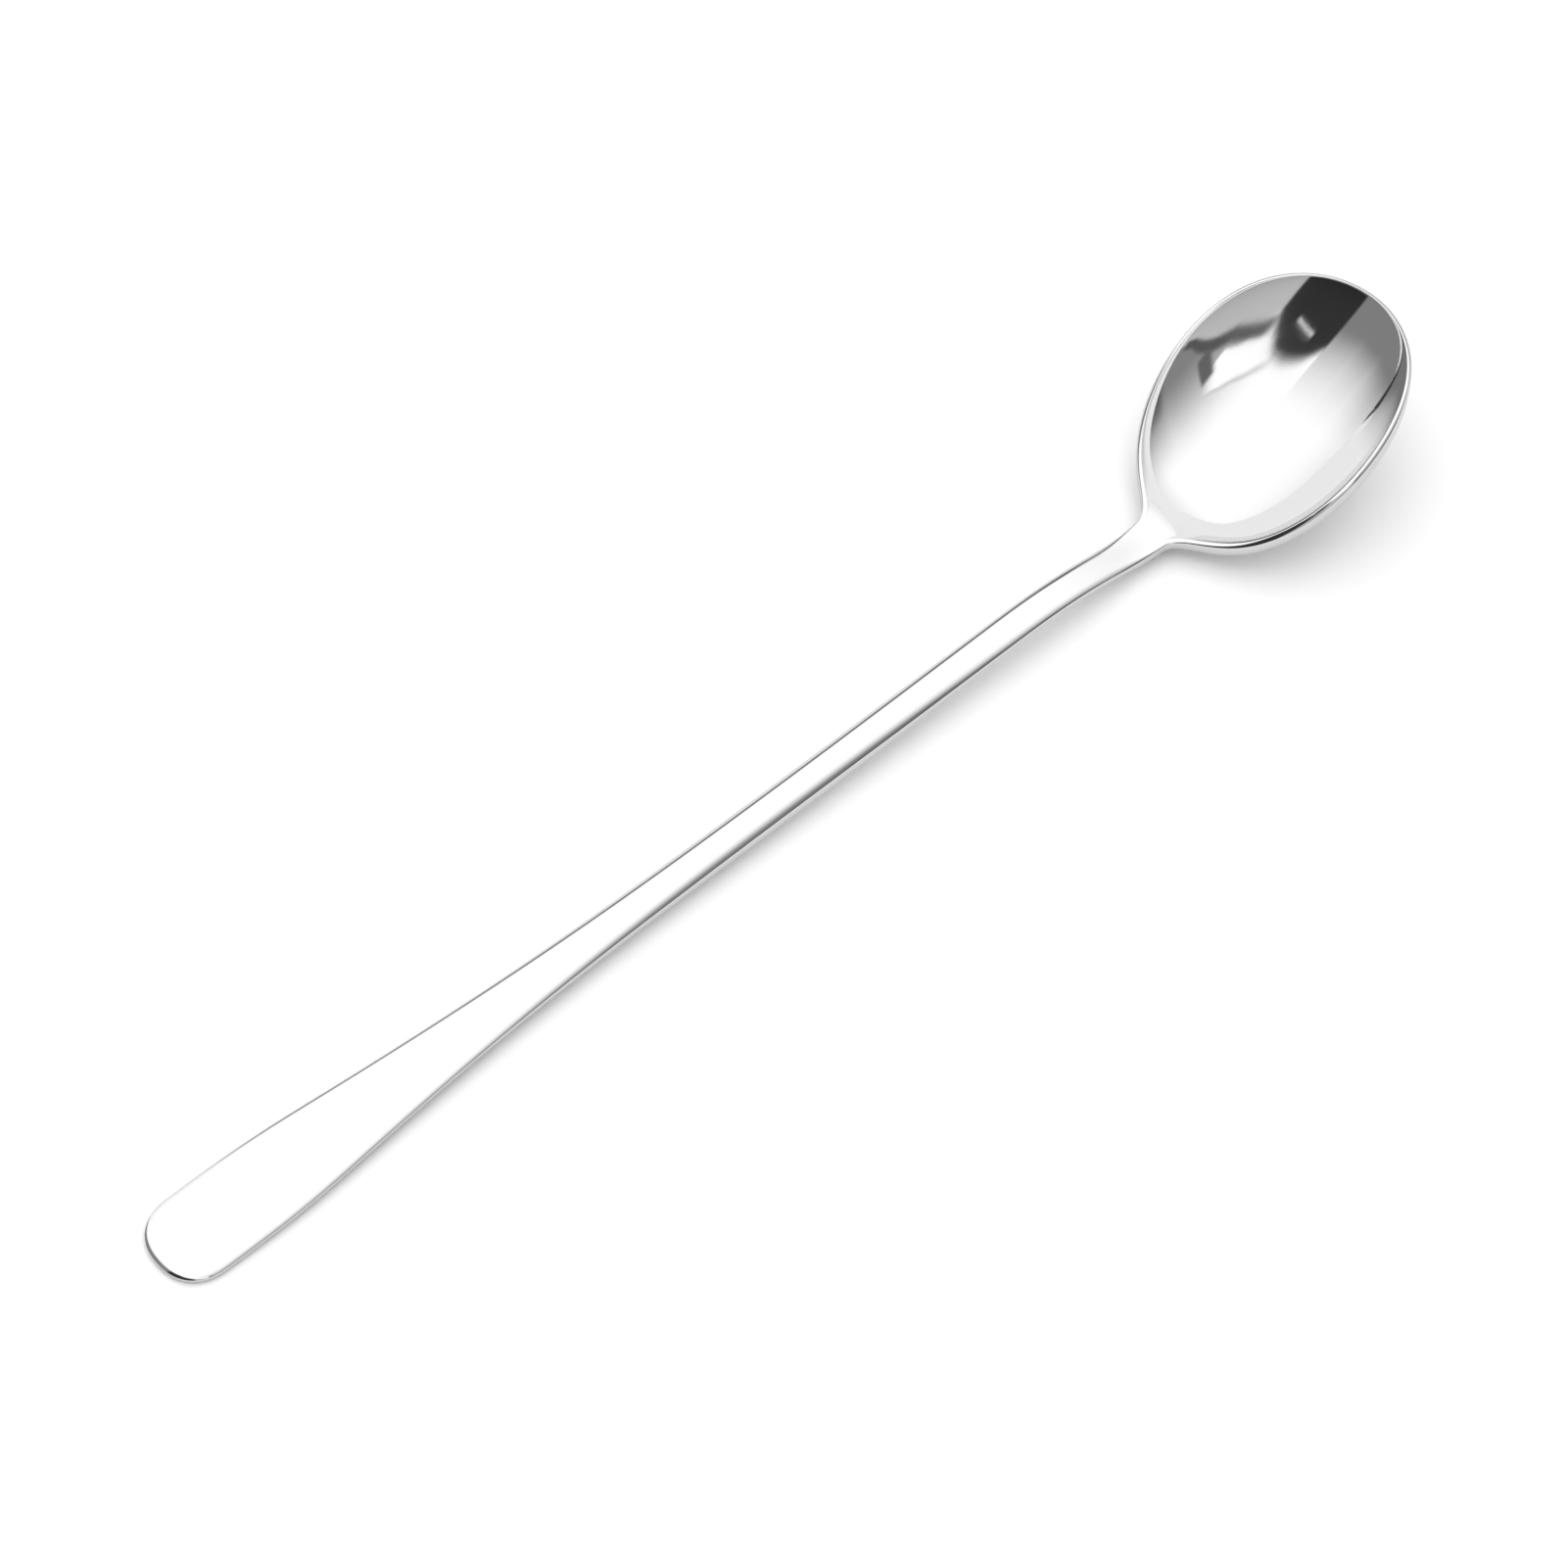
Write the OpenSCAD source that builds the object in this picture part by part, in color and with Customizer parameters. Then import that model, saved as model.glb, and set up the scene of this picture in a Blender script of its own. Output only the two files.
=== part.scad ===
// Iced tea spoon: a long slim handle with a rounded flat end, a dipped neck and an oval bowl.
// It is one pressed strip of stainless steel, drawn here as its five natural sections, which
// meet face to face. The spoon lies along X with its bowl towards +X and rests on Z = 0.

/* [Spoon] */
// Overall length from the handle's end to the bowl's tip
spoon_l = 190; // [170:0.2:215]

/* [Bowl] */
// Length of the bowl, seen from above
bowl_l = 35; // [30:0.2:42]
// Width of the bowl over its rim
bowl_w = 30; // [26:0.2:34]
// Depth of the bowl's inside, straight down from the rim
bowl_depth = 8.3; // [6:0.1:10]
// Steel left under the deepest part of the bowl
wall_t = 1; // [0.8:0.1:1.6]
// Width of the sloping rim, seen from above
rim_w = 1.1; // [0.8:0.1:1.6]
// How far the rim slopes down from its inner edge to its outer edge
rim_fall = 0.4; // [0.2:0.05:1]
// Height of the bowl's tip above the table
tip_z = 18.5; // [16:0.1:22]

/* [Handle] */
// Width of the flat end
end_w = 11.6; // [9:0.1:14]
// Length of the rounded part of the end
end_round = 6; // [4:0.1:8]
// Thickness of the flat end
end_t = 1.4; // [1.2:0.05:2]
// How far the end's underside is ground down where it rests on the table
end_sink = 0.22; // [0.1:0.02:0.3]
// Place where the end begins to taper, from the handle's end
flare_x = 17.5; // [14:0.5:20]
// Place where the taper has run out, from the handle's end
taper_x = 50.7; // [46:0.1:56]
// Width of the slim shank
shank_w = 4.5; // [3.6:0.1:5.4]
// Thickness of the shank at its middle
shank_t = 3; // [2:0.05:3.6]
// Width of the neck
neck_w = 4.2; // [3.4:0.1:5]
// Width to which the neck grows at the foot of the bowl
foot_w = 5.2; // [4.4:0.1:6]
// Thickness of the neck
neck_t = 1.75; // [1.5:0.05:2.4]
// Width of the rounding along each edge of the handle
edge_w = 1.2; // [0.8:0.05:1.4]
// Rise of the handle's top face at its middle
crown = 0.12; // [0:0.01:0.2]

/* [Side line] */
// Height of the crest, where the handle turns down into the neck
crest_z = 5.7; // [4.8:0.1:6.5]
// Distance of the crest in front of the bowl
crest_gap = 15.9; // [12:0.1:20]
// Height of the dip at the neck, before it is rounded
neck_z = 1.8; // [1.6:0.05:2.6]
// Distance of the dip in front of the bowl
neck_gap = 1.1; // [0.5:0.1:3]
// Height of the brow, where the rim levels out towards the tip, before it is rounded
brow_z = 19.8; // [18:0.1:22]
// Distance of the brow behind the bowl's tip
brow_gap = 7.5; // [5:0.1:10]

/* [Sections] */
// Length of the section that holds the rounded end
end_l = 14; // [10:0.5:16]
// Place where the handle passes into the shank, from the handle's end
handle_l = 62; // [56:0.5:70]
// Distance in front of the bowl at which the shank passes into the neck
neck_start_gap = 23; // [20:0.2:28]
// Distance in front of the bowl at which the neck passes into the bowl's own section
bowl_start_gap = 7; // [6:0.2:9]

/* [Hidden] */

// Reach of each bend to either side, in the outline and the side line
flare_reach = 10;
taper_reach = 39;
crest_reach = 10.6;
neck_reach = 8;
brow_reach = 15;
// Places where the handle starts to thicken and is thickest, and the distance in front of the
// bowl at which it is thin again, with the reach of the bend at each
thin_x = 45;
thick_x = 95;
slim_gap = 16;
thick_reach = 20;
// Distance in front of the bowl at which the neck starts to widen, and the reach of that bend
widen_gap = 8;
widen_reach = 6;
// Length over which the neck's edges flow into the bowl
blend_l = 9;
// Length over which the inside of the bowl fades out into the neck
fade_l = 10;
// Height of the outer wall below the rim's inner edge, where the underside starts to curve in,
// and the length over which it grows to that height
rim_drop = 2.6;
deepen_l = 40;

// Shares that shape the curves
end_square_share = 2.3;
side_share = 0.7;
edge_fall_share = 0.36;
edge_round_share = 0.5;
bowl_full_share = 0.85;
rim_round_share = 0.25;
handle_full_share = 0.35;
egg_share = -0.05;

// Counts of the mesh
top_steps = 8;
under_steps = 8;
rim_steps = 6;
bowl_steps = 36;
neck_steps = 8;
shank_steps = 8;
handle_steps = 12;
end_steps = 16;
cap_steps = 3;

bowl_x = spoon_l - bowl_l;
bowl_c = spoon_l - bowl_l / 2;
cut_bowl = bowl_x - bowl_start_gap;
cut_neck = bowl_x - neck_start_gap;

// Half widths along the handle, as corners [place, value, reach of the bend]
half_widths = [
    [0, end_w / 2, 0],
    [flare_x, end_w / 2, flare_reach],
    [taper_x, shank_w / 2, taper_reach],
    [bowl_x - widen_gap, neck_w / 2, widen_reach],
    [bowl_x, foot_w / 2, 0]
];
// Height of the edges, from the end of the handle to the bowl's tip
side_line = [
    [0, end_t - end_sink, 0],
    [bowl_x - crest_gap, crest_z, crest_reach],
    [bowl_x - neck_gap, neck_z, neck_reach],
    [spoon_l - brow_gap, brow_z, brow_reach],
    [spoon_l, tip_z, 0]
];
thicknesses = [
    [0, end_t, 0],
    [thin_x, end_t, thick_reach],
    [thick_x, shank_t, thick_reach],
    [bowl_x - slim_gap, neck_t, thick_reach],
    [bowl_x, neck_t, 0]
];

// A bend: nothing before it, one unit of rise per unit of run after it, smooth over its reach
function bend(t, reach) =
    t >= reach ? t : t <= -reach ? 0 : reach * pow(1 + t / reach, 3) * (3 - t / reach) / 16;
function slope(corners, i) =
    (corners[i + 1][1] - corners[i][1]) / (corners[i + 1][0] - corners[i][0]);
// Value at x of straight runs between corners, with every corner bent smoothly
function run(x, corners, i = 1) =
    i == len(corners) - 1
        ? corners[0][1] + slope(corners, 0) * (x - corners[0][0])
        : (slope(corners, i) - slope(corners, i - 1)) * bend(x - corners[i][0], corners[i][2])
            + run(x, corners, i + 1);
// The larger of two values, with a smooth passage where they differ by less than k
function soft_max(a, b, k) = max(a, b) + k * pow(max(k - abs(a - b), 0) / k, 3) / 6;
function ease(t) = t <= 0 ? 0 : t >= 1 ? 1 : t * t * (3 - 2 * t);
function mix(a, b, t) = a + (b - a) * t;

// 0 along the handle and 1 in the bowl
function in_bowl(x) = ease((x - bowl_x + fade_l) / fade_l);
function edge(x) = mix(edge_w, rim_w, in_bowl(x));
function drop(x) =
    mix(side_share * run(x, thicknesses), rim_drop, ease((x - bowl_x + fade_l) / deepen_l));
function fullness(x) = mix(handle_full_share, bowl_full_share, in_bowl(x));

// Square of the half width of an egg-shaped outline of half length a and half width b
function egg_sq(x, a, b) =
    let (u = (x - bowl_c) / a)
    b * b * (1 - u * u) * (1 + egg_share * u);
function outline_sq(x, inset) =
    let (egg = egg_sq(x, bowl_l / 2 - inset, bowl_w / 2 - inset),
         side = run(x, half_widths) - inset)
    x > bowl_c ? max(egg, 0) : soft_max(side * side, egg, blend_l * blend_l);
function half_w(x) = sqrt(outline_sq(x, 0));
function inner_w(x) = sqrt(outline_sq(x, edge(x)));

// Depth of the inside below the rim's inner edge
function dish(x, y) =
    let (a = outline_sq(x, edge(x)), b = bowl_w / 2 - rim_w)
    bowl_depth * in_bowl(x) * pow(max(a - y * y, 0) / (b * b), bowl_full_share);
function top_z(x, y, rho) =
    run(x, side_line) - dish(x, y)
        + crown * (1 - in_bowl(x)) * (1 - rho * rho);
// Depth of the underside below the side line
function belly(x, y, rho) =
    let (a = outline_sq(x, 0), b = bowl_w * bowl_w / 4,
         full = bowl_depth + wall_t - drop(x))
    x > bowl_c
        ? full * pow(max(a - y * y, 0) / b, bowl_full_share)
        : soft_max(run(x, thicknesses) - drop(x),
                full * in_bowl(x) * pow(a / b, bowl_full_share), wall_t)
            * pow(max(1 - rho * rho, 0), fullness(x));
function under_z(x, y, rho) = run(x, side_line) - drop(x) - belly(x, y, rho);

function place(p, z) = [p[0] - spoon_l / 2, p[1], z];
// Half of a cross-section: from the middle line at m over the top to the inner edge at inner,
// round the edge to outer, and back under the spoon
function rib(outer, inner, m) = concat(
    [for (j = [1:top_steps])
        let (rho = sin(90 * j / top_steps), p = mix(m, inner, rho))
        place(p, top_z(p[0], p[1], rho))],
    [for (j = [1:rim_steps])
        let (t = j / rim_steps, a = 90 * t, bowled = in_bowl(outer[0]),
             rounding = mix(edge_round_share, rim_round_share, bowled),
             fall = mix(edge_fall_share * run(outer[0], thicknesses), rim_fall, bowled),
             p = mix(inner, outer, mix(t, sin(a), rounding)))
        place(p, run(p[0], side_line) - fall * mix(t, 1 - cos(a), rounding))],
    [for (j = [under_steps:-1:1])
        let (rho = sin(90 * j / under_steps), p = mix(m, outer, rho))
        place(p, under_z(p[0], p[1], rho))]
);
function middle(x) = [place([x, 0], top_z(x, 0, 0)), place([x, 0], under_z(x, 0, 0))];
function mirrored(points) = [for (p = points) [p[0], -p[1], p[2]]];
function flipped(list) = [for (i = [len(list) - 1:-1:0]) list[i]];

// Rib whose outer edge is at x, and whose inner edge lies a shift further along
function rib_at(x, shift) =
    let (xi = x + shift)
    rib([x, half_w(x)], [xi, inner_w(xi)], [min(x, bowl_c), 0]);
// Rib of the bowl at angle a, 0 at the neck and 180 at the tip
function bowl_edge(a) = bowl_c - bowl_l / 2 * cos(a);
function bowl_rib(a) = rib_at(bowl_edge(a), rim_w * cos(a));
// Rib of the rounded end at angle a, 0 at the very end and 90 where the sides run on
function end_rib(a) =
    let (power = 2 / end_square_share,
         x = end_round * (1 - pow(cos(a), power)),
         w = half_w(x) * pow(sin(a), power),
         share = edge_w / norm([x - end_round, w]))
    rib([x, w], mix([x, w], [end_round, 0], share), [end_round, 0]);
function steps(from, to, count) = [for (i = [0:count]) mix(from, to, i / count)];

// A closed solid through the cross-sections at the places xs, with both ends flat
module straight_section(xs) {
    rings = [for (x = xs) let (r = rib_at(x, 0), m = middle(x))
        concat([m[0]], r, [m[1]], flipped(mirrored(r)))];
    n = len(rings[0]);
    last = (len(rings) - 1) * n;
    sides = [for (i = [0:len(rings) - 2], j = [0:n - 1])
        let (k = i * n, next = (j + 1) % n)
        each [[k + j, k + next, k + n + j], [k + next, k + n + next, k + n + j]]];
    ends = [[for (j = [n - 1:-1:0]) j], [for (j = [0:n - 1]) last + j]];
    polyhedron([for (r = rings) each r], concat(sides, ends));
}

// A closed solid with a flat end and a round end. The ribs are those of one half, from the
// flat end to the tip of the round one, and xs are the places of its middle line.
module round_section(ribs, xs) {
    n = len(ribs[0]);
    all = concat(ribs, flipped([for (i = [0:len(ribs) - 2]) mirrored(ribs[i])]));
    count = len(all);
    top = count * n;
    under = top + len(xs);
    centres = [for (x = xs) middle(x)];
    function seat(i) = min(i, count - 1 - i, len(xs) - 1);
    sides = [for (i = [0:count - 2], j = [0:n - 2])
        let (k = i * n + j)
        each [[k, k + 1, k + n], [k + 1, k + n + 1, k + n]]];
    closings = [for (i = [0:count - 2])
        let (k = i * n, s = seat(i), t = seat(i + 1))
        each concat(
            [[top + s, k, k + n], [under + s, k + n + n - 1, k + n - 1]],
            s == t ? [] : [[top + s, k + n, top + t], [under + s, under + t, k + n + n - 1]]
        )];
    end = concat([top], [for (j = [0:n - 1]) (count - 1) * n + j], [under],
        [for (j = [n - 1:-1:0]) j]);
    polyhedron(
        [for (r = all) each r, for (c = centres) c[0], for (c = centres) c[1]],
        concat(sides, closings, [end])
    );
}

// Cuts away what would reach below the table, which leaves the flat that a section rests on
module rested() {
    difference() {
        children();
        translate([-spoon_l, -bowl_w, -bowl_w])
            cube([2 * spoon_l, 2 * bowl_w, bowl_w]);
    }
}

module bowl() {
    turns = [for (a = steps(0, 180, bowl_steps)) if (a > 0) a];
    xs = steps(cut_bowl, bowl_x, neck_steps);
    ribs = concat(
        [for (x = xs) rib_at(x, rim_w * ease((x - cut_bowl) / bowl_start_gap))],
        [for (a = turns) bowl_rib(a)]
    );
    color("silver")
        rested()
            round_section(ribs, concat(xs, [for (a = turns) if (a <= 90) bowl_edge(a)]));
}

module neck() {
    color("silver")
        straight_section(steps(cut_neck, cut_bowl, neck_steps));
}

module shank() {
    color("gainsboro")
        straight_section(steps(handle_l, cut_neck, shank_steps));
}

module handle() {
    color("silver")
        straight_section(steps(end_l, handle_l, handle_steps));
}

module handle_end() {
    xs = steps(end_l, end_round, cap_steps);
    ribs = concat(
        [for (x = xs) rib_at(x, 0)],
        [for (a = steps(90, 0, end_steps)) if (a < 90) end_rib(a)]
    );
    color("gainsboro")
        rested()
            round_section([for (r = ribs) mirrored(r)], xs);
}

bowl();
neck();
shank();
handle();
handle_end();
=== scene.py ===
"""Iced tea spoon of polished steel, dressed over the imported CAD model.

The spoon is made as the real one is. A flat blank is laid out as two sheets of quads, the top and the
underside, and both are pressed into shape by the same curves as the CAD solids. The two sheets are
welded along the outer edge, and the pressed spoon is then parted at the planes where the CAD sections
meet.
"""

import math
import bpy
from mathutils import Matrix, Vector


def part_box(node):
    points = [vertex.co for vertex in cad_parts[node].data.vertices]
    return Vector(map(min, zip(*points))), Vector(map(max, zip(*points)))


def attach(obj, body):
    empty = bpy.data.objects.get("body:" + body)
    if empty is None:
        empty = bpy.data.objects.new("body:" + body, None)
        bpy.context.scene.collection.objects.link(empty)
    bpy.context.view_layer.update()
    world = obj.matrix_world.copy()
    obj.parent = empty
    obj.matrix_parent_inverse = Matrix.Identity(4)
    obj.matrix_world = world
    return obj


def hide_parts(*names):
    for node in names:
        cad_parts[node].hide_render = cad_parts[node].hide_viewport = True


bl_info = {
    "name": "Iced tea spoon",
    "version": (1, 0, 0),
    "blender": (4, 5, 0),
    "location": "3D View > Sidebar > Spoon",
    "description": "Presses, parts and polishes a long-handled spoon and sets its stage",
    "category": "Add Mesh",
}

import bpy
import numpy as np
from bpy.props import FloatProperty, FloatVectorProperty, IntProperty, PointerProperty
from mathutils import Vector

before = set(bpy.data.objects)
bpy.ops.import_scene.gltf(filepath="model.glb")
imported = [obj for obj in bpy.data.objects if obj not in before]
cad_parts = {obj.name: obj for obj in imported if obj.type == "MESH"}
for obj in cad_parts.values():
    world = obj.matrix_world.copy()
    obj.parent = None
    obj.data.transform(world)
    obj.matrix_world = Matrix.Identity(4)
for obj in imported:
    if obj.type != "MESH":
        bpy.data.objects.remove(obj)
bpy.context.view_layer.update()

SECTIONS = ("handle_end", "handle", "shank", "neck", "bowl")
SPOON = "pressed_spoon"
STEEL = "polished_steel"

# Shares that shape the curves, as in the CAD source
END_SQUARE = 2.3
SIDE_SHARE = 0.7
EDGE_FALL = 0.36
EDGE_ROUND = 0.5
BOWL_FULL = 0.85
HANDLE_FULL = 0.35
EGG = -0.05

# Power of the rim's round section: a squarer rim beside the neck, and a rounder one round the tip
RIM_SQUARE = 0.45
RIM_TIP = 1.15

# Shares that lay out the quads: how far the core grid reaches, how round its corners are,
# and the angles at which the border turns from the sides to the two ends
CORE = 0.55
CORNER = 0.15
BOWL_TURN = math.radians(52)
END_TURN = math.radians(50)

# Rows of quads: round the handle's end, in the stretches from there to the bowl, along the first half
# of the bowl, and round its tip. The rows of the bowl crowd by a share towards its foot.
END_ROWS = 14
STRETCH_ROWS = (12, 48, 60, 24, 18)
BOWL_ROWS = 40
TIP_ROWS = 30
BOWL_CROWD = 0.6

# How much a flat sheet grows from one ring of quads to the next
RING_STEP = 0.02

MM_PER_M = 1000

# In metres: corners this close are welded, corners this close to a plane lie on it, and a half width
# counts as at least this. Places are compared in steps, of which a metre has this many.
WELD = 1e-7
ON_PLANE = 2e-6
LEAST_WIDTH = 1e-6
STEPS_PER_M = 1e7

# Direction of the polishing lines and how much finer they are across it
POLISH_TURN = math.radians(20)
LINE_STRETCH = 26.0

# Values of the noise between which a smudge grows in, and how much rougher the steel is in it
SMUDGE_START = 0.35
SMUDGE_FULL = 0.75
SMUDGE_ROUGHNESS = 0.05

# Radius of a pit as a share of the pits' distance, and its depth beside the height of the lines
PIT_RADIUS = 0.10
PIT_DEPTH = -0.6


# ---------------------------------------------------------------- sizes


def length(name, default, text):
    """A length of the spoon, given in millimetres and kept in metres."""
    size = {"subtype": "DISTANCE", "unit": "LENGTH", "precision": 5}
    return FloatProperty(name=name, default=default / MM_PER_M, description=text, **size)


def quad_count(name, default, least, text):
    return IntProperty(name=name, default=default, min=least, description=text)


def colour_property(name, default, text):
    return FloatVectorProperty(
        name=name, default=default, size=3, min=0, max=1, subtype="COLOR", description=text
    )


class SpoonSizes(bpy.types.PropertyGroup):
    spoon_l: length("Length", 190, "Whole length of the spoon")
    bowl_l: length("Bowl length", 35, "Length of the bowl's outline")
    bowl_w: length("Bowl width", 30, "Width of the bowl's outline")
    bowl_depth: length("Bowl depth", 8.3, "Depth of the inside below the rim")
    wall_t: length("Bowl wall", 1, "Thickness of the bowl's wall")
    rim_w: length("Rim width", 0.62, "Width of the bowl's sloping rim, seen from above")
    rim_fall: length("Rim fall", 0.6, "How far the rim slopes down to its outer edge")
    rim_drop: length("Rim drop", 2.6, "Height of the outer wall below the rim")
    deepen_l: length("Deepening", 40, "Length over which the outer wall grows to its height")
    tip_z: length("Tip height", 18.5, "Height of the rim at the bowl's tip")
    end_w: length("End width", 11.6, "Width of the handle's rounded end")
    end_round: length("End rounding", 6, "Length over which the end is rounded")
    end_t: length("End thickness", 1.4, "Thickness of the handle's end")
    end_sink: length("End sink", 0.22, "How far the end is sunk to its flat")
    end_l: length("End section", 14, "Length of the section with the rounded end")
    flare_x: length("Flare", 17.5, "Where the handle starts to narrow")
    flare_reach: length("Flare reach", 10, "Reach of the bend at the flare")
    taper_x: length("Taper", 50.7, "Where the handle ends its taper")
    taper_reach: length("Taper reach", 39, "Reach of the bend at the taper")
    handle_l: length("Handle", 62, "Where the handle passes into the shank")
    shank_w: length("Shank width", 4.5, "Width of the shank")
    shank_t: length("Shank thickness", 3, "Thickness of the shank in its middle")
    thin_x: length("Thin end", 45, "Where the thickness starts to grow")
    thick_x: length("Thick middle", 95, "Where the shank is thickest")
    thick_reach: length("Thickness reach", 20, "Reach of the bends of the thickness")
    slim_gap: length("Slim gap", 16, "Distance of the slim neck in front of the bowl")
    neck_w: length("Neck width", 4.2, "Width of the neck")
    foot_w: length("Foot width", 5.2, "Width to which the neck grows at the foot of the bowl")
    widen_gap: length("Widening gap", 8, "Where the neck starts to widen, in front of the bowl")
    widen_reach: length("Widening reach", 6, "Reach of the bend where the neck starts to widen")
    neck_t: length("Neck thickness", 1.75, "Thickness of the neck")
    edge_w: length("Edge width", 1.2, "Width of the handle's rounded edge")
    crown: length("Crown", 0.12, "Height of the handle's crown")
    crest_z: length("Crest height", 5.7, "Height of the crest of the shank")
    crest_gap: length("Crest gap", 15.9, "Distance of the crest in front of the bowl")
    crest_reach: length("Crest reach", 10.6, "Reach of the bend at the crest")
    neck_z: length("Neck height", 1.8, "Height of the edges where the bowl starts")
    neck_gap: length("Neck gap", 1.1, "Distance of the lowest edge in front of the bowl")
    neck_reach: length("Neck reach", 8, "Reach of the bend at the neck")
    brow_z: length("Brow height", 19.8, "Height of the corner where the rim levels out")
    brow_gap: length("Brow gap", 7.5, "Distance of the brow behind the tip")
    brow_reach: length("Brow reach", 15, "Reach of the bend at the brow")
    blend_l: length("Blend", 9, "Length over which the neck's edges flow into the bowl")
    fade_l: length("Fade", 10, "Length over which the inside fades out into the neck")
    neck_start_gap: length("Neck section", 23, "Where the neck starts, in front of the bowl")
    bowl_start_gap: length("Bowl section", 7, "Where the bowl's section starts, in front of the bowl")
    rest_k: length("Rest softness", 0.12, "Softness of the two flats that the spoon rests on")


class SpoonMesh(bpy.types.PropertyGroup):
    columns: quad_count("Columns", 36, 8, "Quads across the core of each sheet")
    top_rings: quad_count("Top rings", 24, 4, "Rings of quads from the core to the rim")
    rim_rings: quad_count("Rim rings", 12, 4, "Rings of quads round the rim")
    wall_rings: quad_count("Wall rings", 2, 1, "Rings of quads down the outer wall")
    under_rings: quad_count("Under rings", 24, 4, "Rings of quads under the spoon")


class SteelLook(bpy.types.PropertyGroup):
    colour: colour_property("Steel", (0.80, 0.80, 0.80), "Colour of the polished steel")
    roughness: FloatProperty(
        name="Roughness", default=0.04, min=0, max=1, description="Roughness where the polish is good"
    )


class StageLook(bpy.types.PropertyGroup):
    distance: FloatProperty(
        name="Camera distance",
        default=0.8,
        subtype="DISTANCE",
        unit="LENGTH",
        description="From the camera to what it looks at",
    )
    lens: FloatProperty(
        name="Lens", default=152.97, description="Focal length in millimetres on a 36 mm frame"
    )
    floor: colour_property("Floor", (0.62, 0.62, 0.62), "Colour of the floor that the steel mirrors")
    fill: FloatProperty(
        name="Fill", default=0.77, min=0, description="Strength of the light from all round"
    )


# ---------------------------------------------------------------- curves of the spoon


def bend(t, reach):
    """Nothing before zero and one unit of rise per unit of run after it, smooth over the reach."""
    if reach == 0:
        return np.clip(t, 0, None)
    u = np.clip(t / reach, -1, 1)
    return np.where(t >= reach, t, reach * (1 + u) ** 3 * (3 - u) / 16)


def run(x, corners):
    """Value at x of straight runs between corners, each a place, a value and the reach of its bend."""
    slopes = [(b[1] - a[1]) / (b[0] - a[0]) for a, b in zip(corners, corners[1:])]
    value = corners[0][1] + slopes[0] * (x - corners[0][0])
    for corner, before, after in zip(corners[1:], slopes, slopes[1:]):
        value = value + (after - before) * bend(x - corner[0], corner[2])
    return value


def soft_max(a, b, k):
    return np.maximum(a, b) + k * (np.clip(k - np.abs(a - b), 0, None) / k) ** 3 / 6


def ease(t):
    t = np.clip(t, 0, 1)
    return t * t * (3 - 2 * t)


def mix(a, b, t):
    return a + (b - a) * t


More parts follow.
